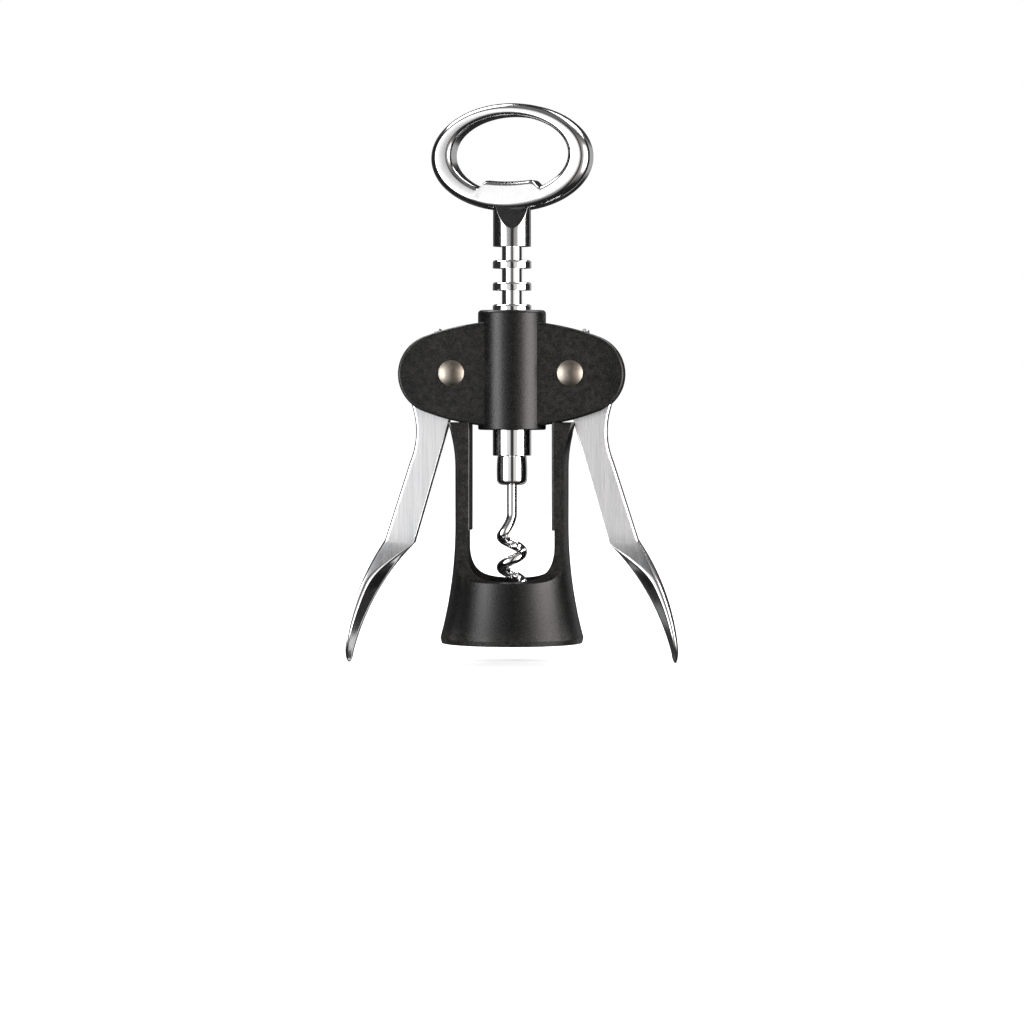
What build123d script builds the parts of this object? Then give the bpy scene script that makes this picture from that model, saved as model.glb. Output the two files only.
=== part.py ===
"""Lever corkscrew: a moulded frame with a bottle bell, two toothed levers, a grooved rack, and a worm
that is turned by a ring-shaped handle with a crown-cap lifter.

Units are millimetres. The origin is on the worm's axis at the mouth of the bell, +Z runs up that axis and
+X points at the right-hand lever. The levers are down and the rack is up.
"""

from build123d import *
import math
import os

# --- driving dimensions -----------------------------------------------------
# Bell and cage
SOCKET_RADIUS = 15.3  # takes a bottle's 29.5 mm finish
SOCKET_DEPTH = 5.5
CORK_RADIUS = 13.9  # passage above the bottle's lip
TAPER_TOP = 8.5
BELL_RIM_RADIUS = 20.5
BELL_RIM_HEIGHT = 1.5
CAGE_RADIUS = 16.2
CAGE_BASE = 34.0  # where the bell has become a plain cylinder
FLARE_BASE = 50.0  # where the struts start to widen into the head
FLARE_TOP = 63.0
FLARE_RADIUS = 18.4
FLAT_HALF = 6.1  # half the thickness of the head and of the struts
FLARE_CENTRE_Z = 28.0
FLARE_CENTRE_Y = 16.4
WINDOW_HALF = 11.7
WINDOW_BASE = 32.3
STRUT_EDGE = 0.6
RIM_TAPER = 0.4
CLEAR_OF_ALL = 60.0  # longer than any cut needs

# Head
HEAD_Z = 76.8
HEAD_HALF_WIDTH = 32.2
HEAD_HALF_HEIGHT = 15.2
HEAD_END_RADIUS = 11.4
HEAD_EDGE = 0.8
SLOT_HALF = 3.25
SLOT_GAP = 0.4  # round the teeth
ARM_GAP = 0.9  # beside the tube, for a raised lever
TUBE_RADIUS = 9.7
TUBE_BASE = 60.9
TUBE_TOP = 95.0
TUBE_TOP_EDGE = 1.0
TUBE_BASE_EDGE = 0.5

# Pivots, gear sectors and rack
PIVOT_X = 16.9
PIVOT_Z = 77.1
PITCH_RADIUS = 11.3
TIP_RADIUS = 13.2
ROOT_RADIUS = 10.4
TOOTH_COUNT = 7
TOOTH_TIP_HALF = 0.85
TOOTH_ROOT_HALF = 1.75
TOOTH_EDGE = 0.5
RACK_PITCH = 2.0 * math.pi
RACK_RADIUS = 5.5
RACK_CORE_RADIUS = 2.875
RACK_BORE_RADIUS = 5.6
RING_THICKNESS = 2.35
TOP_RING_Z = 106.9
RING_COUNT = 7
RACK_BOTTOM = 53.5
COLLAR_TOP = 65.3

# Rivets
RIVET_RADIUS = 2.5
RIVET_PIN_RADIUS = 1.6
RIVET_HEAD_RADIUS = 3.65
RIVET_HEAD_HEIGHT = 1.3
RIVET_HEAD_EDGE = 0.3  # the straight rim under the dome
RIVET_PIN_GAP = 0.5  # left at the bottom of the sleeve's bore
LEVER_BORE_RADIUS = 2.55

# Lever
LEVER_HALF = 3.0
PAD_HALF = 6.6
PAD_TIP_Z = -5.7

# Worm and ferrule
WIRE_RADIUS = 1.425
SLEEVE_BORE_RADIUS = 1.5
HELIX_RADIUS = 2.975
HELIX_PITCH = 8.8
HELIX_BOTTOM = 8.3
HELIX_TURNS = 2.55
SHANK_BASE = 37.0
SHANK_TOP = 123.0
POINT_LENGTH = 3.0
FERRULE_BOTTOM = 45.2
FERRULE_TOP = 53.4

# Handle
HANDLE_TURN = -14.0  # the ring is cast a little out of line with the stem
FACET_TURN = 3.0
FACET_LOW = (5.4, 118.2)  # depth and height where the stem starts to slope in to the ring
FACET_HIGH = (1.9, 126.8)
STEM_BOTTOM = 113.1
STEM_RADIUS = 5.4
RING_Z = 138.45
RING_HALF_WIDTH = 23.7
RING_HALF_HEIGHT = 15.3
RING_HALF_THICKNESS = 4.1
HOLE_Z = 139.25
HOLE_HALF_WIDTH = 17.5
HOLE_HALF_HEIGHT = 10.8
LIP_Z = 131.9
LIP_HALF = 6.6
LIP_SHOULDER = (8.6, 130.9)
LIP_FOOT = (10.5, 127.0)
LIP_HOLLOW = 0.3
RING_EDGE = 2.2
HOLE_EDGE = 1.2

os.makedirs("parts", exist_ok=True)


def polar(radius, degrees):
    """A point on a circle about the right-hand pivot."""
    turn = math.radians(degrees)
    return (PIVOT_X + radius * math.cos(turn), PIVOT_Z + radius * math.sin(turn))


# --- frame ------------------------------------------------------------------
with BuildPart() as cage:
    with BuildSketch(Plane.XZ):
        with BuildLine():
            rim = Polyline((0, 0), (BELL_RIM_RADIUS - RIM_TAPER, 0), (BELL_RIM_RADIUS, BELL_RIM_HEIGHT))
            bell = TangentArc((CAGE_RADIUS, CAGE_BASE), rim @ 1, tangent=(0, -1))
            strut = Line((CAGE_RADIUS, CAGE_BASE), (CAGE_RADIUS, FLARE_BASE))
            flare = TangentArc(strut @ 1, (FLARE_RADIUS, FLARE_TOP), tangent=(0, 1))
            Polyline(flare @ 1, (0, FLARE_TOP), (0, 0))
        make_face()
    revolve(axis=Axis.Z)
    # The sides of the cage are flat above the bell and sweep out into it.
    with BuildSketch(Plane.YZ):
        with BuildLine():
            arc_end = (FLARE_CENTRE_Y, FLARE_CENTRE_Z - (FLARE_CENTRE_Y - FLAT_HALF))
            sweep_out = TangentArc((FLAT_HALF, FLARE_CENTRE_Z), arc_end, tangent=(0, -1))
            outside = Polyline(arc_end, (CLEAR_OF_ALL, arc_end[1]), (CLEAR_OF_ALL, HEAD_Z))
            Polyline(outside @ 1, (FLAT_HALF, HEAD_Z), sweep_out @ 0)
        make_face()
        mirror(about=Plane.YZ)
    extrude(amount=CLEAR_OF_ALL, both=True, mode=Mode.SUBTRACT)
    # The cork's passage, and the straight window above it.
    with BuildSketch(Plane.XZ):
        with BuildLine():
            Polyline(
                (0, -1),
                (SOCKET_RADIUS, -1),
                (SOCKET_RADIUS, SOCKET_DEPTH),
                (CORK_RADIUS, TAPER_TOP),
                (CORK_RADIUS, WINDOW_BASE),
                (0, WINDOW_BASE),
                close=True,
            )
        make_face()
    revolve(axis=Axis.Z, mode=Mode.SUBTRACT)
    with BuildSketch(Plane.XY.offset(WINDOW_BASE)):
        Rectangle(2 * WINDOW_HALF, CLEAR_OF_ALL)
    extrude(amount=CLEAR_OF_ALL, mode=Mode.SUBTRACT)
    # Each strut's inner corners are rounded.
    uprights = cage.edges().filter_by(Axis.Z)
    inner_uprights = uprights.filter_by(lambda edge: abs(edge.center().X) < WINDOW_HALF + STRUT_EDGE)
    fillet(inner_uprights, STRUT_EDGE)

with BuildPart() as head:
    with BuildSketch(Plane.XZ.offset(-FLAT_HALF)):
        with BuildLine():
            end_x = HEAD_HALF_WIDTH - HEAD_END_RADIUS
            flat_radius = (end_x**2 + HEAD_HALF_HEIGHT**2 - HEAD_END_RADIUS**2) / (
                2 * (HEAD_HALF_HEIGHT - HEAD_END_RADIUS)
            )
            join = math.atan2(flat_radius - HEAD_HALF_HEIGHT, end_x)
            join_x = end_x + HEAD_END_RADIUS * math.cos(join)
            join_z = HEAD_END_RADIUS * math.sin(join)
            for sign in (1, -1):
                crown = HEAD_Z + sign * HEAD_HALF_HEIGHT
                shoulder = HEAD_Z + sign * join_z
                ThreePointArc((-join_x, shoulder), (0, crown), (join_x, shoulder))
                ThreePointArc(
                    (sign * join_x, HEAD_Z + join_z),
                    (sign * HEAD_HALF_WIDTH, HEAD_Z),
                    (sign * join_x, HEAD_Z - join_z),
                )
        make_face()
    extrude(amount=2 * FLAT_HALF)
    fillet(head.edges().group_by(Axis.Y)[0], HEAD_EDGE)
    fillet(head.edges().group_by(Axis.Y)[-1], HEAD_EDGE)

with BuildPart() as tube:
    with BuildSketch(Plane.XY.offset(TUBE_BASE)):
        Circle(TUBE_RADIUS)
    extrude(amount=TUBE_TOP - TUBE_BASE)
    fillet(tube.edges().group_by(Axis.Z)[-1], TUBE_TOP_EDGE)
    fillet(tube.edges().group_by(Axis.Z)[0], TUBE_BASE_EDGE)

with BuildPart() as frame:
    add(cage.part)
    add(head.part)
    add(tube.part)
    with BuildSketch(Plane.XY.offset(TUBE_BASE - 1)):
        Circle(RACK_BORE_RADIUS)
    extrude(amount=TUBE_TOP - TUBE_BASE + 2, mode=Mode.SUBTRACT)
    # One slot each side holds the lever's toothed hub and lets its arm swing from below to above.
    with BuildSketch(Plane.XZ):
        with Locations((PIVOT_X, PIVOT_Z), (-PIVOT_X, PIVOT_Z)):
            Circle(TIP_RADIUS + SLOT_GAP)
        for sign, outward in ((1, Align.MIN), (-1, Align.MAX)):
            with Locations((sign * (PIVOT_X + SLOT_GAP), PIVOT_Z)):
                Rectangle(CLEAR_OF_ALL, CLEAR_OF_ALL, align=(outward, Align.CENTER))
            with Locations((sign * (TUBE_RADIUS + ARM_GAP), PIVOT_Z)):
                Rectangle(CLEAR_OF_ALL, CLEAR_OF_ALL / 2, align=(outward, Align.MIN))
    extrude(amount=SLOT_HALF, both=True, mode=Mode.SUBTRACT)
    with BuildSketch(Plane.XZ):
        with Locations((PIVOT_X, PIVOT_Z), (-PIVOT_X, PIVOT_Z)):
            Circle(RIVET_RADIUS)
    extrude(amount=CLEAR_OF_ALL, both=True, mode=Mode.SUBTRACT)
frame.part.label = "frame"
export_step(frame.part, "parts/frame.step")

# --- levers -----------------------------------------------------------------
# Angles about the right-hand pivot. A tooth stands in every gap between two rack rings.
tooth_step = math.degrees(RACK_PITCH / PITCH_RADIUS)
gap_z = TOP_RING_Z + RING_THICKNESS / 2 - RACK_PITCH / 2
gap_near_pivot = gap_z - RACK_PITCH * round((gap_z - PIVOT_Z) / RACK_PITCH)
first_tooth = 180 + math.degrees((PIVOT_Z - gap_near_pivot) / PITCH_RADIUS)
tooth_angles = [first_tooth - step * tooth_step for step in range(-1, TOOTH_COUNT - 1)]

with BuildSketch() as tooth:
    Polygon(
        (ROOT_RADIUS - 1, TOOTH_ROOT_HALF),
        (TIP_RADIUS, TOOTH_TIP_HALF),
        (TIP_RADIUS, -TOOTH_TIP_HALF),
        (ROOT_RADIUS - 1, -TOOTH_ROOT_HALF),
        align=None,
    )
    fillet(tooth.vertices().group_by(Axis.X)[-1], TOOTH_EDGE)

# The thumb pad bends out from the elbow. Seen from the side it widens, then ends in a round tip.
with BuildPart() as pad:
    with BuildSketch(Plane.XZ):
        with BuildLine():
            back = ThreePointArc((36.0, 30.2), (43.9, 14.2), (47.6, -2.5))
            tip = ThreePointArc(back @ 1, (46.9, -5.7), (45.6, -3.4))
            front = ThreePointArc(tip @ 1, (38.6, 14.4), (27.9, 28.6))
            Line(front @ 1, back @ 0)
        make_face()
    extrude(amount=PAD_HALF, both=True)
    with BuildSketch(Plane.YZ):
        with BuildLine():
            side = Line((LEVER_HALF, 31), (LEVER_HALF, 29))
            widening = TangentArc(side @ 1, (LEVER_HALF + 1.2, 21), tangent=(0, -1))
            edge = TangentArc(widening @ 1, (PAD_HALF, 6), tangent=widening % 1)
            end = ThreePointArc(edge @ 1, (PAD_HALF * 0.72, -3.4), (0, PAD_TIP_Z))
            Polyline(end @ 1, (0, 31), side @ 0)
        make_face()
        mirror(about=Plane.YZ)
    extrude(amount=CLEAR_OF_ALL, mode=Mode.INTERSECT)

with BuildPart() as right_lever:
    with BuildSketch(Plane.XZ):
        with Locations((PIVOT_X, PIVOT_Z)):
            Circle(ROOT_RADIUS)
        for angle in tooth_angles:
            with Locations(Location((PIVOT_X, PIVOT_Z, 0), (0, 0, angle))):
                add(tooth.sketch)
        with BuildLine():
            shoulder = ThreePointArc(polar(ROOT_RADIUS, 18), (28.9, 74.5), (28.3, 67.8))
            neck = ThreePointArc(shoulder @ 1, (27.3, 60.0), (28.9, 52.2))
            outer = Line(neck @ 1, (36.4, 28.9))
            inner = Line((27.9, 28.6), polar(ROOT_RADIUS, 270))
            Polyline(outer @ 1, inner @ 0)
            Polyline(inner @ 1, (PIVOT_X, PIVOT_Z), shoulder @ 0)
        make_face()
    extrude(amount=LEVER_HALF, both=True)
    add(pad.part)
    with BuildSketch(Plane.XZ):
        with Locations((PIVOT_X, PIVOT_Z)):
            Circle(LEVER_BORE_RADIUS)
    extrude(amount=CLEAR_OF_ALL, both=True, mode=Mode.SUBTRACT)
right_lever.part.label = "right_lever"
export_step(right_lever.part, "parts/right_lever.step")

with BuildPart() as left_lever:
    add(right_lever.part)
    mirror(about=Plane.YZ, mode=Mode.REPLACE)
left_lever.part.label = "left_lever"
export_step(left_lever.part, "parts/left_lever.step")

# --- pivot rivets: a tubular half from the front, a solid half pressed into it from the back -------
with BuildPart() as rivet_dome:
    with BuildSketch(Plane.XZ):
        with BuildLine():
            rim_edge = (RIVET_HEAD_RADIUS, RIVET_HEAD_EDGE)
            rim = Polyline((0, RIVET_HEAD_HEIGHT), (0, 0), (RIVET_HEAD_RADIUS, 0), rim_edge)
            TangentArc(rim @ 0, rim_edge, tangent=(1, 0))
        make_face()
    revolve(axis=Axis.Z)

for side, pivot_x in (("left", -PIVOT_X), ("right", PIVOT_X)):
    front = Plane(origin=(pivot_x, -FLAT_HALF, PIVOT_Z), x_dir=(1, 0, 0), z_dir=(0, -1, 0))
    back = Plane(origin=(pivot_x, FLAT_HALF, PIVOT_Z), x_dir=(1, 0, 0), z_dir=(0, 1, 0))
    with BuildPart() as rivet_sleeve:
        with Locations(front.location):
            add(rivet_dome.part)
        with BuildSketch(front):
            Circle(RIVET_RADIUS)
        extrude(amount=-(2 * FLAT_HALF - RIVET_PIN_GAP))
        with BuildSketch(back):
            Circle(RIVET_PIN_RADIUS)
        extrude(amount=-(2 * FLAT_HALF - 2 * RIVET_PIN_GAP), mode=Mode.SUBTRACT)
    rivet_sleeve.part.label = f"{side}_rivet_sleeve"
    export_step(rivet_sleeve.part, f"parts/{side}_rivet_sleeve.step")

    with BuildPart() as rivet_pin:
        with Locations(back.location):
            add(rivet_dome.part)
        with BuildSketch(back):
            Circle(RIVET_PIN_RADIUS)
        extrude(amount=-(2 * FLAT_HALF - 3 * RIVET_PIN_GAP))
    rivet_pin.part.label = f"{side}_rivet_pin"
    export_step(rivet_pin.part, f"parts/{side}_rivet_pin.step")

# --- rack -------------------------------------------------------------------
with BuildPart() as rack_ring:
    with BuildSketch():
        Circle(RACK_RADIUS)
    extrude(amount=RING_THICKNESS)
    fillet(rack_ring.edges().group_by(Axis.Z)[-1], 0.8)
    fillet(rack_ring.edges().group_by(Axis.Z)[0], 0.2)

with BuildPart() as rack_spindle:
    with BuildSketch(Plane.XY.offset(RACK_BOTTOM)):
        Circle(RACK_CORE_RADIUS)
    extrude(amount=STEM_BOTTOM - 0.1 - RACK_BOTTOM)
    with BuildSketch(Plane.XY.offset(RACK_BOTTOM)):
        Circle(RACK_RADIUS)
    extrude(amount=COLLAR_TOP - RACK_BOTTOM)
    fillet(rack_spindle.edges().group_by(Axis.Z)[0].sort_by(SortBy.LENGTH)[-1], 0.3)
    with Locations(*[(0, 0, TOP_RING_Z - step * RACK_PITCH) for step in range(RING_COUNT)]):
        add(rack_ring.part)
    with BuildSketch(Plane.XY.offset(RACK_BOTTOM)):
        Circle(SLEEVE_BORE_RADIUS)
    extrude(amount=STEM_BOTTOM - RACK_BOTTOM, mode=Mode.SUBTRACT)
rack_spindle.part.label = "rack_spindle"
export_step(rack_spindle.part, "parts/rack_spindle.step")

# --- worm: a helix with a ground point, bent in to a straight shank that runs up into the handle -----
with BuildPart() as worm:
    with BuildLine() as coil:
        helix = Helix(HELIX_PITCH, HELIX_PITCH * HELIX_TURNS, HELIX_RADIUS, center=(0, 0, HELIX_BOTTOM))
        start = helix @ 1
        leave = helix % 1
        arrive = Vector(0, 0, SHANK_BASE)
        Bezier(start, start + leave * 2.8, arrive - Vector(0, 0, 2.6), arrive)
        Line(arrive, (0, 0, SHANK_TOP))
    with BuildSketch(Plane(origin=helix @ 0, z_dir=helix % 0)):
        Circle(WIRE_RADIUS)
    sweep(path=coil.wire())
    point_plane = Plane(origin=helix @ 0, z_dir=(helix % 0) * -1)
    with BuildSketch(point_plane):
        Circle(WIRE_RADIUS)
    with BuildSketch(point_plane.offset(POINT_LENGTH)):
        Circle(0.15)
    loft()
worm.part.label = "worm"
export_step(worm.part, "parts/worm.step")

with BuildPart() as worm_ferrule:
    with BuildSketch(Plane.XZ):
        with BuildLine():
            Polyline((WIRE_RADIUS, FERRULE_TOP), (WIRE_RADIUS, FERRULE_BOTTOM), (2.6, FERRULE_BOTTOM))
            ThreePointArc((2.6, FERRULE_BOTTOM), (3.85, FERRULE_BOTTOM + 0.5), (4.3, FERRULE_BOTTOM + 1.8))
            ThreePointArc((4.3, FERRULE_BOTTOM + 1.8), (4.35, 49.5), (4.15, FERRULE_TOP - 0.2))
            Polyline((4.15, FERRULE_TOP - 0.2), (3.95, FERRULE_TOP), (WIRE_RADIUS, FERRULE_TOP))
        make_face()
    revolve(axis=Axis.Z)
worm_ferrule.part.label = "worm_ferrule"
export_step(worm_ferrule.part, "parts/worm_ferrule.step")

# --- handle -----------------------------------------------------------------
def upright_plane(degrees):
    """The XZ plane turned about Z, facing the front."""
    turn = math.radians(degrees)
    return Plane(
        origin=(0, 0, 0),
        x_dir=(math.cos(turn), math.sin(turn), 0),
        z_dir=(math.sin(turn), -math.cos(turn), 0),
    )


ring_plane = upright_plane(HANDLE_TURN)
with BuildPart() as ring:
    with BuildSketch(ring_plane.offset(-RING_HALF_THICKNESS)):
        with Locations((0, RING_Z)):
            Ellipse(RING_HALF_WIDTH, RING_HALF_HEIGHT)
        with Locations((0, HOLE_Z)):
            Ellipse(HOLE_HALF_WIDTH, HOLE_HALF_HEIGHT, mode=Mode.SUBTRACT)
        # The lip that hooks under a crown cap.
        with BuildLine():
            left_foot, left_shoulder = (-LIP_FOOT[0], LIP_FOOT[1]), (-LIP_SHOULDER[0], LIP_SHOULDER[1])
            rising = Polyline(left_foot, left_shoulder, (-LIP_HALF, LIP_Z))
            lip_top = ThreePointArc(rising @ 1, (0, LIP_Z - LIP_HOLLOW), (LIP_HALF, LIP_Z))
            Polyline(lip_top @ 1, LIP_SHOULDER, LIP_FOOT, rising @ 0)
        make_face()
    extrude(amount=2 * RING_HALF_THICKNESS)
    rims = ring.faces().sort_by(Axis((0, 0, 0), ring_plane.z_dir))
    fillet(rims[0].outer_wire().edges() + rims[-1].outer_wire().edges(), RING_EDGE)
    rims = ring.faces().sort_by(Axis((0, 0, 0), ring_plane.z_dir))
    chamfer(rims[0].inner_wires().edges() + rims[-1].inner_wires().edges(), HOLE_EDGE)

facet_plane = upright_plane(FACET_TURN)
with BuildPart() as handle:
    with BuildSketch(Plane.XY.offset(STEM_BOTTOM)):
        Circle(STEM_RADIUS)
    extrude(amount=FACET_HIGH[1] - STEM_BOTTOM)
    # Front and back of the stem slope in to meet the ring.
    with BuildSketch(Plane(origin=(0, 0, 0), x_dir=facet_plane.z_dir, z_dir=facet_plane.x_dir * -1)):
        for sign in (1, -1):
            with BuildLine():
                Polyline(
                    (sign * FACET_LOW[0], FACET_LOW[1]),
                    (sign * FACET_HIGH[0], FACET_HIGH[1]),
                    (sign * CLEAR_OF_ALL, FACET_HIGH[1]),
                    (sign * CLEAR_OF_ALL, FACET_LOW[1]),
                    close=True,
                )
            make_face()
    extrude(amount=CLEAR_OF_ALL, both=True, mode=Mode.SUBTRACT)
    add(ring.part)
    with BuildSketch(Plane.XY.offset(STEM_BOTTOM)):
        Circle(WIRE_RADIUS)
    extrude(amount=SHANK_TOP - STEM_BOTTOM, mode=Mode.SUBTRACT)
handle.part.label = "handle"
export_step(handle.part, "parts/handle.step")
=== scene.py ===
"""Looks for the lever corkscrew: camera, materials, finer levers and handle, and a studio.

Everything is in metres and in the frame's own axes, except that outlines are given in millimetres. The
worm's axis is Z, the levers swing in the XZ plane and the front of the object faces -Y.
"""

import math

import bmesh
import bpy
from mathutils import Matrix, Vector


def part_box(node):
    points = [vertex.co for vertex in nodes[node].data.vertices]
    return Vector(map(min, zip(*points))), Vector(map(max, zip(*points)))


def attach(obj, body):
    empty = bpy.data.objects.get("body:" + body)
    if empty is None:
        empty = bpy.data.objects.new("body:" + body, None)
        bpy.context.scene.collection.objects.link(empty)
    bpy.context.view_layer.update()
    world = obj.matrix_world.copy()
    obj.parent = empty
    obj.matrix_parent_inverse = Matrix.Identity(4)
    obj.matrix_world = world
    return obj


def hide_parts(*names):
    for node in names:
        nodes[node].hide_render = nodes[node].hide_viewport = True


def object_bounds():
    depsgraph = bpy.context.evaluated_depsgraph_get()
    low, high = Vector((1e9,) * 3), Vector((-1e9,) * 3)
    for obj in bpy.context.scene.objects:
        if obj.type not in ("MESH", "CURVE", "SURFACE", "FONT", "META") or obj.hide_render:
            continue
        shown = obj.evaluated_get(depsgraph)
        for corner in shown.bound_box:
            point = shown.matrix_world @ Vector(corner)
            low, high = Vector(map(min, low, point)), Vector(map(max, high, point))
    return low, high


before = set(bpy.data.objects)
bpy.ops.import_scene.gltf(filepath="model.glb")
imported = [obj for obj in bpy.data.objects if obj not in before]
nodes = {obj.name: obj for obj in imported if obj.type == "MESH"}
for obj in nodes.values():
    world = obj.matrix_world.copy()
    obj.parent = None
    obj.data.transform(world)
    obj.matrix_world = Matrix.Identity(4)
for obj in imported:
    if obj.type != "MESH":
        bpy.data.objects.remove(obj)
cad_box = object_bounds()
MM = 0.001

# --- camera -----------------------------------------------------------------
CAMERA_DISTANCE = 1.143
CAMERA_TURN = 4.0  # degrees round to the right
CAMERA_PITCH = 1.9  # degrees above the horizon
CAMERA_LENS = 140.6  # mm
CAMERA_SENSOR = 36.0  # mm
AIM_HEIGHT = 0.0374  # above the bell's mouth


def make_camera():
    data = bpy.data.cameras.new("camera")
    data.lens = CAMERA_LENS
    data.sensor_width = CAMERA_SENSOR
    data.clip_end = 20.0
    camera = bpy.data.objects.new("camera", data)
    bpy.context.scene.collection.objects.link(camera)
    back = towards(CAMERA_TURN, CAMERA_PITCH)
    camera.location = Vector((0, 0, AIM_HEIGHT)) + back * CAMERA_DISTANCE
    camera.rotation_euler = (-back).to_track_quat("-Z", "Y").to_euler()
    bpy.context.scene.camera = camera


def towards(turn, rise):
    """The direction at a bearing and a height in degrees. Bearing 0 is the front, and 90 is the right."""
    turn, rise = math.radians(turn), math.radians(rise)
    return Vector((math.sin(turn) * math.cos(rise), -math.cos(turn) * math.cos(rise), math.sin(rise)))


# --- node helpers -----------------------------------------------------------
class Material:
    """A procedural material with short ways to add and join nodes."""

    def __init__(self, name, **settings):
        self.material = bpy.data.materials.new(name)
        self.material.use_nodes = True
        self.tree = self.material.node_tree
        self.shader = self.tree.nodes["Principled BSDF"]
        for socket, value in settings.items():
            self.shader.inputs[socket.replace("_", " ")].default_value = value
        places = self.add("ShaderNodeTexCoord").outputs
        self.coords, self.normal = places["Object"], places["Normal"]

    def add(self, kind, **inputs):
        node = self.tree.nodes.new(kind)
        for name, value in inputs.items():
            self.put(node.inputs[name.replace("_", " ")], value)
        return node

    def put(self, socket, value):
        if isinstance(value, bpy.types.NodeSocket):
            self.tree.links.new(value, socket)
        else:
            socket.default_value = value

    def parts(self, vector):
        """The vector's sockets by name: X, Y and Z."""
        return self.add("ShaderNodeSeparateXYZ", Vector=vector).outputs

    def vector_maths(self, operation, vector):
        node = self.add("ShaderNodeVectorMath")
        node.operation = operation
        self.put(node.inputs[0], vector)
        return node.outputs

    def mirrored(self):
        """Object coordinates without their signs, so that left and right are alike."""
        return self.vector_maths("ABSOLUTE", self.coords)["Vector"]

    def stretch(self, scale, turn=(0, 0, 0), vector=None):
        """Coordinates turned and stretched, for grain that runs one way."""
        mapping = self.add("ShaderNodeMapping", Vector=vector or self.coords, Scale=scale, Rotation=turn)
        return mapping.outputs["Vector"]

    def noise(self, scale, detail=4.0, roughness=0.55, vector=None):
        node = self.add("ShaderNodeTexNoise", Scale=scale, Detail=detail, Roughness=roughness)
        self.put(node.inputs["Vector"], vector or self.coords)
        return node.outputs["Fac"]

    def ramp(self, value, low, high, to_low, to_high):
        node = self.add("ShaderNodeMapRange", Value=value)
        node.inputs["From Min"].default_value = low
        node.inputs["From Max"].default_value = high
        node.inputs["To Min"].default_value = to_low
        node.inputs["To Max"].default_value = to_high
        return node.outputs["Result"]

    def maths(self, operation, a, b=0.0):
        node = self.add("ShaderNodeMath")
        node.operation = operation
        self.put(node.inputs[0], a)
        self.put(node.inputs[1], b)
        return node.outputs[0]

    def mix(self, factor, a, b):
        """Blend two colours, each given as a socket, or as red, green and blue."""
        node = self.add("ShaderNodeMix")
        node.data_type = "RGBA"
        self.put(node.inputs["Factor"], factor)
        for index, colour in ((6, a), (7, b)):
            self.put(node.inputs[index], (*colour, 1) if isinstance(colour, tuple) else colour)
        return node.outputs[2]

    def bump(self, height, depth, normal=None):
        """depth is how far, in metres, the height's full range stands proud."""
        node = self.add("ShaderNodeBump", Height=height, Distance=depth, Strength=1.0)
        if normal:
            self.put(node.inputs["Normal"], normal)
        return node.outputs["Normal"]

    def finish(self, **links):
        for socket, value in links.items():
            self.put(self.shader.inputs[socket.replace("_", " ")], value)
        return self.material


# --- materials --------------------------------------------------------------
def black_plastic():
    """Moulded plastic: fine grain with paler specks, faint mottling, and scuffs along its edges."""
    deep, faded = (0.0014, 0.0014, 0.0014), (0.0018, 0.0018, 0.0018)
    speck, scuffed = (0.016, 0.016, 0.0155), (0.035, 0.033, 0.031)
    m = Material("black_plastic", Specular_IOR_Level=0.34)
    grain = m.noise(3400, detail=2, roughness=0.6)
    blotch = m.noise(160, detail=5)
    edge = m.ramp(m.add("ShaderNodeNewGeometry").outputs["Pointiness"], 0.505, 0.56, 0.0, 1.0)
    scuff = m.maths("MULTIPLY", edge, m.ramp(m.noise(900, detail=6), 0.4, 0.65, 0.2, 1.0))
    mottled = m.mix(m.ramp(blotch, 0.35, 0.65, 0, 1), deep, faded)
    colour = m.mix(m.ramp(grain, 0.5, 0.72, 0, 0.8), mottled, speck)
    rough = m.maths("ADD", m.ramp(blotch, 0.3, 0.7, 0.285, 0.295), m.ramp(grain, 0.3, 0.7, -0.04, 0.05))
    return m.finish(
        Base_Color=m.mix(m.maths("MULTIPLY", scuff, 0.5), colour, scuffed),
        Roughness=m.maths("SUBTRACT", rough, m.maths("MULTIPLY", scuff, 0.05)),
        Normal=m.bump(grain, 0.00005, m.bump(blotch, 0.000004)),
    )


def chrome(name, roughness, wave_depth, tint=(0.86, 0.86, 0.87)):
    """Plating over a casting or a turned rod: a slight swell, fine scratches and a few dull spots."""
    red, green, blue = tint
    m = Material(name, Metallic=1.0)
    swell = m.noise(260, detail=2)
    scratch = m.noise(1.0, detail=3, vector=m.stretch((900, 900, 9000), (0.2, 0.3, 0)))
    dull = m.ramp(m.noise(700, detail=6), 0.52, 0.75, 0.0, 1.0)
    base = m.ramp(scratch, 0.45, 0.8, roughness, roughness + 0.07)
    return m.finish(
        Base_Color=m.mix(dull, tint, (red * 0.94, green * 0.935, blue * 0.93)),
        Roughness=m.maths("ADD", base, m.maths("MULTIPLY", dull, 0.03)),
        Normal=m.bump(scratch, 0.0000015, m.bump(swell, wave_depth)),
    )


BRUSH_TURN = (0, math.radians(17), 0)  # the way the arms lean at rest
POLISHED = 0.13  # roughness of the pads and of all edges
PAD_TOP, ARM_BOTTOM = 0.018, 0.032  # the polish gives way to brushing between these heights


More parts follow.
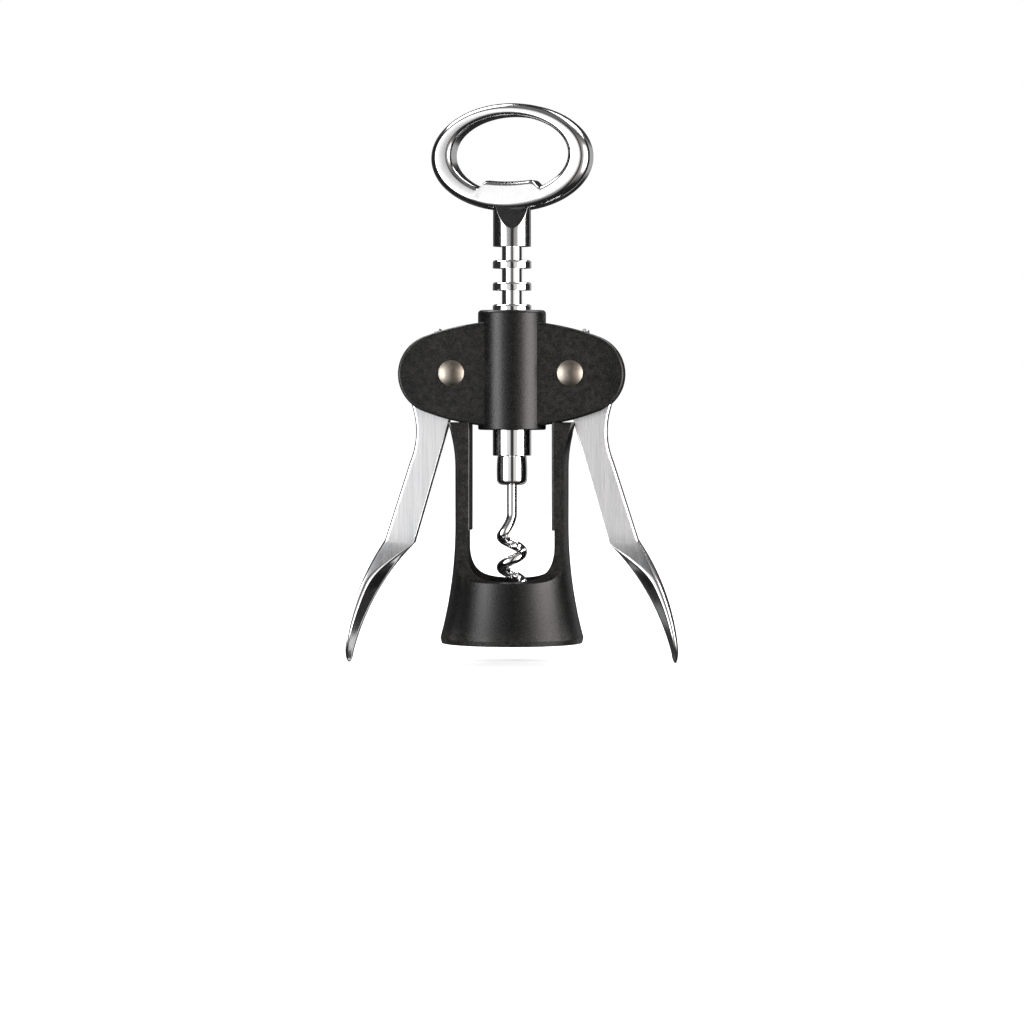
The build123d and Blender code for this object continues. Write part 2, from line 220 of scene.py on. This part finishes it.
def brushed_lever():
    """Cast metal, brushed along the arm's two faces and polished on its edges and on the pad."""
    silver, grey, streak_grey = (0.95, 0.95, 0.955), (0.80, 0.81, 0.83), (0.66, 0.67, 0.695)
    m = Material("brushed_lever", Metallic=1.0)
    sides_alike = m.mirrored()
    fine_grain = m.stretch((2600, 2600, 70), BRUSH_TURN, sides_alike)
    broad_grain = m.stretch((420, 420, 22), BRUSH_TURN, sides_alike)
    streak = m.noise(1.0, detail=5, roughness=0.65, vector=fine_grain)
    broad = m.noise(1.0, detail=2, vector=broad_grain)
    on_arm = m.ramp(m.parts(m.coords)["Z"], PAD_TOP, ARM_BOTTOM, 0.0, 1.0)
    on_face = m.ramp(m.maths("ABSOLUTE", m.parts(m.normal)["Y"]), 0.9, 0.98, 0.0, 1.0)
    bright = m.mix(m.ramp(broad, 0.35, 0.68, 0, 1), silver, grey)
    extra = m.maths("SUBTRACT", m.ramp(streak, 0.3, 0.7, 0.42, 0.54), POLISHED)
    brushed = m.maths("MULTIPLY", m.maths("MULTIPLY", on_arm, on_face), extra)
    return m.finish(
        Base_Color=m.mix(m.ramp(streak, 0.42, 0.72, 0, 1), bright, streak_grey),
        Roughness=m.maths("ADD", brushed, POLISHED),
        Normal=m.bump(streak, 0.000006, m.bump(broad, 0.00002)),
    )


def turned_nickel():
    """Stained nickel with fine turning rings about each rivet's own axis."""
    bright, stained = (0.31, 0.277, 0.24), (0.22, 0.195, 0.165)
    m = Material("turned_nickel", Metallic=1.0)
    low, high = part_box("right_rivet_sleeve")
    centre = (low + high) / 2
    about_axis = m.add("ShaderNodeMapping", Vector=m.mirrored(), Scale=(1, 0, 1))
    about_axis.inputs["Location"].default_value = (-centre.x, 0, -centre.z)
    reach = m.vector_maths("LENGTH", about_axis.outputs["Vector"])["Value"]
    rings = m.add("ShaderNodeCombineXYZ", X=m.maths("MULTIPLY", reach, 5200.0))
    lines = m.noise(1.0, detail=3, vector=rings.outputs["Vector"])
    return m.finish(
        Base_Color=m.mix(m.ramp(m.noise(900, detail=5), 0.35, 0.7, 0, 1), bright, stained),
        Roughness=m.ramp(lines, 0.3, 0.7, 0.30, 0.42),
        Normal=m.bump(lines, 0.000008),
    )


def dress(mesh, material):
    mesh.materials.clear()
    mesh.materials.append(material)


# --- mesh helpers -----------------------------------------------------------
def circle(radius, count):
    turns = [2 * math.pi * k / count for k in range(count)]
    return [(radius * math.cos(t), radius * math.sin(t)) for t in turns]


def arc(start, middle, end, count):
    """Evenly spaced points of the circle through three points, without the last."""
    ax, ay = start
    bx, by = middle
    cx, cy = end
    a, b, c = ax**2 + ay**2, bx**2 + by**2, cx**2 + cy**2
    d = 2 * (ax * (by - cy) + bx * (cy - ay) + cx * (ay - by))
    ux = (a * (by - cy) + b * (cy - ay) + c * (ay - by)) / d
    uy = (a * (cx - bx) + b * (ax - cx) + c * (bx - ax)) / d
    radius = math.hypot(ax - ux, ay - uy)
    first = math.atan2(ay - uy, ax - ux)
    sweep = (math.atan2(cy - uy, cx - ux) - first + math.pi) % (2 * math.pi) - math.pi
    turns = [first + sweep * i / count for i in range(count)]
    return [(ux + radius * math.cos(t), uy + radius * math.sin(t)) for t in turns]


def line(start, end, count):
    """Evenly spaced points of a straight line, without the last."""
    across, up = end[0] - start[0], end[1] - start[1]
    return [(start[0] + across * i / count, start[1] + up * i / count) for i in range(count)]


def smooth(value, low, high):
    t = min(1.0, max(0.0, (value - low) / (high - low)))
    return t * t * (3 - 2 * t)


def rounded(corners, radius, steps):
    """A polygon with each corner replaced by a short curve."""
    out = []
    for i, corner in enumerate(corners):
        before, after = Vector(corners[i - 1]), Vector(corners[(i + 1) % len(corners)])
        here = Vector(corner)
        cut = min(radius, 0.45 * (before - here).length, 0.45 * (after - here).length)
        a = here + (before - here).normalized() * cut
        b = here + (after - here).normalized() * cut
        for k in range(steps + 1):
            t = k / steps
            out.append(a * (1 - t) ** 2 + here * 2 * t * (1 - t) + b * t**2)
    return out


def band(first, second, count):
    """The faces between two rings of points, given the number of each ring's first point."""
    sides = [(c, (c + 1) % count) for c in range(count)]
    return [(first + c, first + n, second + n, second + c) for c, n in sides]


def skin(name, rings):
    """A closed mesh through rings of equally many points, with flat ends."""
    count = len(rings[0])
    last = (len(rings) - 1) * count
    faces = [face for start in range(0, last, count) for face in band(start, start + count, count)]
    faces.append(tuple(reversed(range(count))))
    faces.append(tuple(last + c for c in range(count)))
    return as_object(name, rings, faces)


def hoop(name, rings):
    """A closed band through sections that run right round."""
    count = len(rings[0])
    faces = []
    for r in range(len(rings)):
        faces += band(r * count, (r + 1) % len(rings) * count, count)
    return as_object(name, rings, faces)


def as_object(name, rings, faces):
    mesh = bpy.data.meshes.new(name)
    mesh.from_pydata([p for ring in rings for p in ring], [], faces)
    bm = bmesh.new()
    bm.from_mesh(mesh)
    bmesh.ops.recalc_face_normals(bm, faces=bm.faces)
    bm.to_mesh(mesh)
    bm.free()
    piece = bpy.data.objects.new(name, mesh)
    bpy.context.scene.collection.objects.link(piece)
    return piece


def keep_result(piece):
    """Turn the piece's modifiers into its mesh."""
    graph = bpy.context.evaluated_depsgraph_get()
    mesh = bpy.data.meshes.new_from_object(piece.evaluated_get(graph))
    piece.modifiers.clear()
    piece.data = mesh


def combine(piece, other, operation):
    modifier = piece.modifiers.new("combine", "BOOLEAN")
    modifier.operation = operation
    modifier.solver = "EXACT"
    modifier.object = other
    keep_result(piece)
    bpy.data.objects.remove(other)


def bevel(piece, width):
    """Round the sharp edges and keep the result."""
    modifier = piece.modifiers.new("bevel", "BEVEL")
    modifier.width = width
    modifier.segments = 2
    modifier.limit_method = "ANGLE"
    modifier.angle_limit = math.radians(20)
    keep_result(piece)


def soften(piece, degrees):
    """Smooth shading, with edges sharper than this kept crisp."""
    for face in piece.data.polygons:
        face.use_smooth = True
    piece.data.set_sharp_from_angle(angle=math.radians(degrees))
    weigh = piece.modifiers.new("weigh", "WEIGHTED_NORMAL")
    weigh.keep_sharp = True
    weigh.weight = 60


# --- levers -----------------------------------------------------------------
# The right lever's outline in the XZ plane, in millimetres. The left one is its mirror image.
PIVOT = (16.9, 77.1)
SHOULDER = ((27.2, 78.6), (28.8, 73.4), (28.2, 67.0))
NECK = ((28.2, 67.0), (27.3, 59.5), (29.0, 51.9))
ARM_OUTER_END = (36.2, 29.6)
ARM_INNER_START = (16.6, 68.0)
ARM_INNER_MIDDLE = (18.3, 61.6)
ARM_INNER_BEND = (21.9, 49.3)
ELBOW = (27.9, 28.6)
PAD_OUTER = (ARM_OUTER_END, (43.8, 14.3), (47.5, -2.8))
PAD_INNER = (ELBOW, (38.5, 14.6), (45.8, -3.6))
PAD_TIP = (46.9, -5.65)
SHOULDER_STEPS, NECK_STEPS, ARM_STEPS, PAD_STEPS = 8, 14, 12, 40
ARM_HALF, PAD_HALF = 3.0, 6.6
EDGE_ROUND = 1.05
OUTER_DRAFT = 0.1  # by how much the arm's outer edge is narrower than its faces
# Places along the pad, as shares of its length from the elbow.
PAD_WIDENS = (-0.1, 0.46)
INSIDE_THINS = (-0.06, 0.3)
WIDEST_MOVES_OUT = (0.0, 0.42)
DRAFT_ENDS = (0.0, 0.4)
ROUND_START, ROUND_OVERRUN = 0.8, 0.07
TIP_RINGS = (0.3, 0.55, 0.75, 0.9, 0.98)  # shares of the way from the last section to the tip

# The gear sector. Angles are in degrees about the pivot.
ROOT_RADIUS, TIP_RADIUS = 10.4, 13.2
TOOTH_STEP = math.degrees(2 * math.pi / 11.3)  # the rack's pitch on the pitch circle
TOOTH_COUNT = 7
LAST_TOOTH = 197.9  # the one that meets the rack lowest
TOOTH_TIP_HALF, TOOTH_ROOT_HALF = 3.0, 8.9
HUB_POINTS = 450
HUB_HALF, HUB_EDGE = 2.9, 0.25
BORE_RADIUS = 2.55


def round_end(along):
    """How much of the pad's width is left, near its round end."""
    return math.sqrt(max(0.02, 1 - ((along - ROUND_START) / (1 + ROUND_OVERRUN - ROUND_START)) ** 2))


def lever_section(depth, along):
    """Corners from the outer edge (at depth) to the inner one (at 0), as (across, y) pairs."""
    wide = ARM_HALF + (PAD_HALF - ARM_HALF) * smooth(along, *PAD_WIDENS)
    if along > ROUND_START:
        wide *= round_end(along)
    inside = min(wide * 0.8, ARM_HALF * (1 - 0.6 * smooth(along, *INSIDE_THINS)))
    outside = wide - OUTER_DRAFT * (1 - smooth(along, *DRAFT_ENDS))
    widest = 0.64 * depth * smooth(along, *WIDEST_MOVES_OUT)
    front = [(depth, -outside), (widest, -wide), (0, -inside)]
    back = [(across, -y) for across, y in reversed(front)]
    return rounded(front + back, EDGE_ROUND, 6)


def lever_arm(name):
    """Arm and thumb pad: a row of sections from the shoulder down, closed in a round tip."""
    outer = arc(*SHOULDER, SHOULDER_STEPS) + arc(*NECK, NECK_STEPS)
    outer += line(NECK[2], ARM_OUTER_END, ARM_STEPS) + arc(*PAD_OUTER, PAD_STEPS)
    inner = line(ARM_INNER_START, ARM_INNER_MIDDLE, SHOULDER_STEPS)
    inner += line(ARM_INNER_MIDDLE, ARM_INNER_BEND, NECK_STEPS)
    inner += line(ARM_INNER_BEND, ELBOW, ARM_STEPS) + arc(*PAD_INNER, PAD_STEPS)
    pad_start = SHOULDER_STEPS + NECK_STEPS + ARM_STEPS
    rings = []
    for i, (out_point, in_point) in enumerate(zip(outer, inner)):
        base = Vector((in_point[0], 0, in_point[1]))
        outward = Vector((out_point[0], 0, out_point[1])) - base
        section = lever_section(outward.length, max(0.0, (i - pad_start) / PAD_STEPS))
        outward.normalize()
        rings.append([(base + outward * across + Vector((0, y, 0))) * MM for across, y in section])
    return skin(name, rings + tip_rings(rings[-1]))


def tip_rings(last):
    """Smaller and smaller copies of the last section, on the way to the pad's tip."""
    middle = sum(last, Vector()) / len(last)
    tip = Vector((PAD_TIP[0], 0, PAD_TIP[1])) * MM
    rings = []
    for share in TIP_RINGS:
        thin = math.sqrt(1 - share**2)
        slim = round_end(1 + ROUND_OVERRUN * share) / round_end(1)
        centre = middle + (tip - middle) * share
        shrink = Matrix.Diagonal((thin, slim, thin))
        rings.append([centre + shrink @ (p - middle) for p in last])
    return rings


def hub_radius(angle):
    """The gear sector's radius at an angle: the root circle, rising to a tooth at each step."""
    radius = ROOT_RADIUS
    for k in range(TOOTH_COUNT):
        off = abs((angle - (LAST_TOOTH - k * TOOTH_STEP) + 180) % 360 - 180)
        rise = min(1.0, max(0.0, (TOOTH_ROOT_HALF - off) / (TOOTH_ROOT_HALF - TOOTH_TIP_HALF)))
        radius = max(radius, ROOT_RADIUS + (TIP_RADIUS - ROOT_RADIUS) * rise)
    return radius


def toothed_hub(name):
    angles = [360 * k / HUB_POINTS for k in range(HUB_POINTS)]
    rings = []
    for side, inset, shrink in ((-1, 0, HUB_EDGE), (-1, HUB_EDGE, 0), (1, HUB_EDGE, 0), (1, 0, HUB_EDGE)):
        ring = []
        for angle in angles:
            radius, turn = hub_radius(angle) - shrink, math.radians(angle)
            x, z = PIVOT[0] + radius * math.cos(turn), PIVOT[1] + radius * math.sin(turn)
            ring.append(Vector((x, side * (HUB_HALF - inset), z)) * MM)
        rings.append(ring)
    return skin(name, rings)


def bore_cutter(name):
    bore = circle(BORE_RADIUS, 96)
    return skin(name, [[Vector((PIVOT[0] + x, y, PIVOT[1] + z)) * MM for x, z in bore] for y in (-8, 8)])


def make_lever(side, material):
    piece = lever_arm(f"{side}_lever_casting")
    combine(piece, toothed_hub("hub"), "UNION")
    combine(piece, bore_cutter("bore"), "DIFFERENCE")
    if side == "left":
        piece.data.transform(Matrix.Scale(-1, 4, (1, 0, 0)))
        piece.data.flip_normals()
    dress(piece.data, material)
    soften(piece, 35)
    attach(piece, f"{side}_lever")
    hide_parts(f"{side}_lever")


# --- handle -----------------------------------------------------------------
# The ring in its own plane, in millimetres: u runs across it and z runs up. It is turned on the stem.
HANDLE_TURN = -14.0
RING_CENTRE, RING_HALF = 138.45, (23.7, 15.3)
HOLE_CENTRE, HOLE_HALF = 139.25, (17.5, 10.8)
RING_DEPTH = 4.1  # half the ring's thickness
RING_STEPS = 216
OUTER_CORNER, INNER_CORNER, CROWN = 2.3, 1.4, 0.13
LIP_HEIGHT, LIP_SHOULDER, LIP_RUN = 131.9, 9.4, 2.7  # its top, its half width and each end's slope
LIP_HOLLOW, LIP_HOLLOW_HALF = 0.35, 6.0
STEM_RADIUS = 5.4
STEM_BOTTOM, STEM_TOP = 113.1, 126.6
STEM_EDGE = ((0.0, 0.18), (0.05, 0.06), (0.18, 0.0))  # rise and inset at its lower end
STEM_STEPS = 12
STEM_BEVEL = 0.2
FACET_TURN = 3.0
FACET_LOW, FACET_HIGH = (5.4, 118.2), (1.9, 126.8)  # depth and height
FACET_REACH = 9.0  # clear of the stem


def turned_axes(degrees):
    """Sideways and forwards, for something turned this far about Z."""
    turn = math.radians(degrees)
    return Vector((math.cos(turn), math.sin(turn), 0)), Vector((math.sin(turn), -math.cos(turn), 0))


def crowned_section(half_width):
    """A rounded oblong with a bulging front and back, as (across, depth) pairs. +across is the outside."""
    points = []
    for sx, sy, first in ((1, 1, 0), (-1, 1, 90), (-1, -1, 180), (1, -1, 270)):
        radius = min(OUTER_CORNER if sx > 0 else INNER_CORNER, 0.9 * half_width)
        for k in range(9):
            turn = math.radians(first + 90 * k / 8)
            across = sx * (half_width - radius) + radius * math.cos(turn)
            depth = sy * (RING_DEPTH - radius) + radius * math.sin(turn)
            points.append((across, depth))
    return [(x, y * (1 - CROWN * (x / half_width) ** 2)) for x, y in points]


def ring_sections():
    """Sections round the ring, from its hole to its outline. The cap lifter's lip cuts the hole short."""
    across, front = turned_axes(HANDLE_TURN)
    sections = []
    for step in range(RING_STEPS):
        t = 2 * math.pi * step / RING_STEPS
        outer = Vector((RING_HALF[0] * math.cos(t), RING_CENTRE + RING_HALF[1] * math.sin(t)))
        inner = Vector((HOLE_HALF[0] * math.cos(t), HOLE_CENTRE + HOLE_HALF[1] * math.sin(t)))
        if math.sin(t) < 0:
            lip = LIP_HEIGHT - LIP_HOLLOW * max(0.0, 1 - (inner.x / LIP_HOLLOW_HALF) ** 2)
            inner.y += (lip - inner.y) * smooth(LIP_SHOULDER - abs(inner.x), 0, LIP_RUN)
        middle, half = (outer + inner) / 2, (outer - inner) / 2
        section = []
        for x, depth in crowned_section(half.length):
            u, z = middle + half * (x / half.length)
            section.append((across * u + front * depth + Vector((0, 0, z))) * MM)
        sections.append(section)
    return sections


def stem_column(name):
    edge_top = STEM_BOTTOM + STEM_EDGE[-1][0]
    levels = [(STEM_BOTTOM + rise, inset) for rise, inset in STEM_EDGE]
    levels += [(edge_top + (STEM_TOP - edge_top) * k / STEM_STEPS, 0) for k in range(1, STEM_STEPS + 1)]
    return skin(name, [[Vector((x, y, z)) * MM for x, y in circle(STEM_RADIUS - inset, 128)]
                       for z, inset in levels])


def facet_cutter(name, sign):
    """The wedge that slopes the stem's front or back in to the ring."""
    across, front = turned_axes(FACET_TURN)
    corners = (FACET_LOW, FACET_HIGH, (FACET_REACH, FACET_HIGH[1]), (FACET_REACH, FACET_LOW[1]))
    rings = []
    for side in (-FACET_REACH, FACET_REACH):
        flank = across * side
        rings.append([(flank + front * sign * depth + Vector((0, 0, z))) * MM for depth, z in corners])
    return skin(name, rings)


def make_handle(material):
    piece = stem_column("ring_handle")
    for sign in (1, -1):
        combine(piece, facet_cutter("facet", sign), "DIFFERENCE")
    bevel(piece, STEM_BEVEL * MM)
    combine(piece, hoop("ring", ring_sections()), "UNION")
    dress(piece.data, material)
    soften(piece, 30)
    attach(piece, "screw")
    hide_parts("handle")


# --- studio -----------------------------------------------------------------
# Bearings are in degrees from the camera's, and the camera sees none of the lights.
FLOOR_Z = cad_box[0].z - 0.0001
FLOOR_HALF = 5.0
CEILING_Z, CEILING_HALF, CEILING_BACK, CEILING_LEVEL = 1.7, 1.3, 0.0, 0.3
BOX_RADIUS = 1.15
BOX_LOW, BOX_HIGH = -1.3, 1.5
BOX_FADE = 8  # degrees, past a softbox's outer bearing
REFLECTOR = (139.0, 149.0)
RIGHT_REFLECTOR_LEVEL, LEFT_REFLECTOR_LEVEL = 0.8, 0.2
BACK_BEARING, BACK_HEIGHT, BACK_SIZE = 118.0, 58.0, 0.62
BACK_LEFT_LEVEL, BACK_RIGHT_LEVEL = 10.0, 8.0
WHITE, WARM = (1.0, 1.0, 1.0), (1.0, 0.955, 0.925)
REFLECTED_SKY = (0.034, 0.033, 0.033, 1)


def stage_sheet(name, corners, faces, material):
    mesh = bpy.data.meshes.new(name)
    mesh.from_pydata(corners, [], faces)
    mesh.materials.append(material)
    piece = bpy.data.objects.new(name, mesh)
    bpy.context.scene.collection.objects.link(piece)
    return piece


def flat_sheet(name, half, back, height, material):
    """A level sheet. Its back edge is at y = back, and the others are half away from the middle."""
    front_edge = [(-half, -half, height), (half, -half, height)]
    back_edge = [(half, back, height), (-half, back, height)]
    return stage_sheet(name, front_edge + back_edge, [(0, 1, 2, 3)], material)


def floor_material():
    """Pale everywhere: what light it loses far from the lamps it gives out itself."""
    m = Material("pale_floor", Roughness=0.9)
    reach = m.vector_maths("LENGTH", m.coords)["Value"]
    paper = m.mix(m.noise(40, detail=3), (0.62, 0.62, 0.62), (0.66, 0.66, 0.66))
    glow = m.ramp(reach, 0.15, 1.2, 0.72, 1.0)
    return m.finish(Base_Color=paper, Emission_Color=(1, 1, 1, 1), Emission_Strength=glow)


def glow_material(name, colour, strength):
    """A sheet that gives out light. strength takes the material and returns a number or a socket."""
    m = Material(name, Roughness=1.0, Emission_Color=(*colour, 1))
    dark = m.mix(m.noise(2), (0, 0, 0), (0.01, 0.01, 0.01))
    return m.finish(Base_Color=dark, Emission_Strength=strength(m))


def even_glow(name, level):
    return glow_material(name, WHITE, lambda m: level)


def box_strength(inner, outer, peak):
    """A faint glow from the inner bearing on, and a hot part further out. Both fade up and down."""
    def strength(m):
        place = m.parts(m.coords)
        turn = m.maths("ARCTAN2", place["X"], m.maths("MULTIPLY", place["Y"], -1.0))
        bearing = m.maths("ABSOLUTE", m.maths("SUBTRACT", m.maths("DEGREES", turn), CAMERA_TURN))
        faint = m.ramp(bearing, inner, inner + 9, 0.0, 0.085)
        faint_top = m.ramp(place["Z"], 0.35, BOX_HIGH, 1.0, 0.1)
        faint_bottom = m.ramp(place["Z"], BOX_LOW, -0.25, 0.1, 1.0)
        hot = m.maths("POWER", m.ramp(bearing, inner + 21, inner + 42, 0.0, 0.95), 2.2)
        hot_top = m.ramp(place["Z"], 0.15, 0.8, 1.0, 0.0)
        hot_bottom = m.ramp(place["Z"], -0.7, -0.05, 0.0, 1.0)
        glow = m.maths("MULTIPLY", faint, m.maths("MULTIPLY", faint_top, faint_bottom))
        core = m.maths("MULTIPLY", hot, m.maths("MULTIPLY", hot_top, hot_bottom))
        fall = m.ramp(bearing, outer, outer + BOX_FADE, 1.0, 0.0)
        level = m.maths("MULTIPLY", m.maths("ADD", glow, core), fall)
        return m.maths("MULTIPLY", level, peak)
    return strength


def curved_sheet(name, side, first, last, material):
    """An upright sheet round the object, between two bearings. side is 1 for right and -1 for left."""
    corners, faces = [], []
    for k in range(33):
        x, y, _ = towards(CAMERA_TURN + side * (first + (last - first) * k / 32), 0) * BOX_RADIUS
        corners += [(x, y, BOX_LOW), (x, y, BOX_HIGH)]
    for k in range(32):
        faces.append((2 * k, 2 * k + 1, 2 * k + 3, 2 * k + 2))
    sheet = stage_sheet(name, corners, faces, material)
    sheet.visible_camera = False


def soft_box(name, side, inner, outer, peak, colour):
    material = glow_material(name, colour, box_strength(inner, outer, peak))
    curved_sheet(name, side, inner, outer + BOX_FADE, material)


def tilted_panel(name, bearing, level):
    """A square panel that looks down at the object. It lights the sides that the camera doesn't see."""
    away = towards(CAMERA_TURN + bearing, BACK_HEIGHT)
    across = away.cross(Vector((0, 0, 1))).normalized()
    upward = across.cross(away)
    corners = []
    for i, j in ((-1, -1), (1, -1), (1, 1), (-1, 1)):
        corners.append(away * BOX_RADIUS + (across * i + upward * j) * BACK_SIZE / 2)
    panel = stage_sheet(name, corners, [(0, 1, 2, 3)], even_glow(name, level))
    panel.visible_camera = False


def make_world():
    """White where the camera looks past the floor, and nearly black in reflections."""
    world = bpy.data.worlds.new("world")
    world.use_nodes = True
    tree = world.node_tree
    seen = tree.nodes.new("ShaderNodeLightPath").outputs["Is Camera Ray"]
    blend = tree.nodes.new("ShaderNodeMix")
    blend.data_type = "RGBA"
    blend.inputs[6].default_value = REFLECTED_SKY
    blend.inputs[7].default_value = (1, 1, 1, 1)
    tree.links.new(seen, blend.inputs["Factor"])
    tree.links.new(blend.outputs[2], tree.nodes["Background"].inputs["Color"])
    bpy.context.scene.world = world


def make_studio():
    floor = flat_sheet("floor", FLOOR_HALF, FLOOR_HALF, FLOOR_Z, floor_material())
    floor.visible_glossy = False
    ceiling_glow = even_glow("ceiling", CEILING_LEVEL)
    ceiling = flat_sheet("ceiling", CEILING_HALF, CEILING_BACK, CEILING_Z, ceiling_glow)
    ceiling.visible_camera = False
    curved_sheet("right_reflector", 1, *REFLECTOR, even_glow("right_reflector", RIGHT_REFLECTOR_LEVEL))
    curved_sheet("left_reflector", -1, *REFLECTOR, even_glow("left_reflector", LEFT_REFLECTOR_LEVEL))
    tilted_panel("back_left_softbox", -BACK_BEARING, BACK_LEFT_LEVEL)
    tilted_panel("back_right_softbox", BACK_BEARING, BACK_RIGHT_LEVEL)
    soft_box("left_softbox", -1, inner=5.0, outer=62.0, peak=9.2, colour=WHITE)
    soft_box("right_softbox", 1, inner=6.0, outer=80.0, peak=9.0, colour=WARM)
    make_world()
    bpy.context.scene.view_settings.view_transform = "Standard"


# --- build ------------------------------------------------------------------
make_camera()
dress(nodes["frame"].data, black_plastic())
nickel = turned_nickel()
for rivet in ("left_rivet_sleeve", "left_rivet_pin", "right_rivet_sleeve", "right_rivet_pin"):
    dress(nodes[rivet].data, nickel)
turned = chrome("turned_chrome", roughness=0.05, wave_depth=0.000002)
dress(nodes["rack_spindle"].data, turned)
dress(nodes["worm_ferrule"].data, turned)
dress(nodes["worm"].data, chrome("wire_chrome", roughness=0.06, wave_depth=0.000003))
# The handle's chrome is tinted about half as bright as the turned chrome. This is painted shade: it gives
# its faces grey midtones under the softboxes instead of plain white.
make_handle(chrome("cast_chrome_painted_shade", roughness=0.14, wave_depth=0.000010, tint=(0.42, 0.42, 0.425)))
lever_metal = brushed_lever()
for lever_side in ("left", "right"):
    make_lever(lever_side, lever_metal)
make_studio()
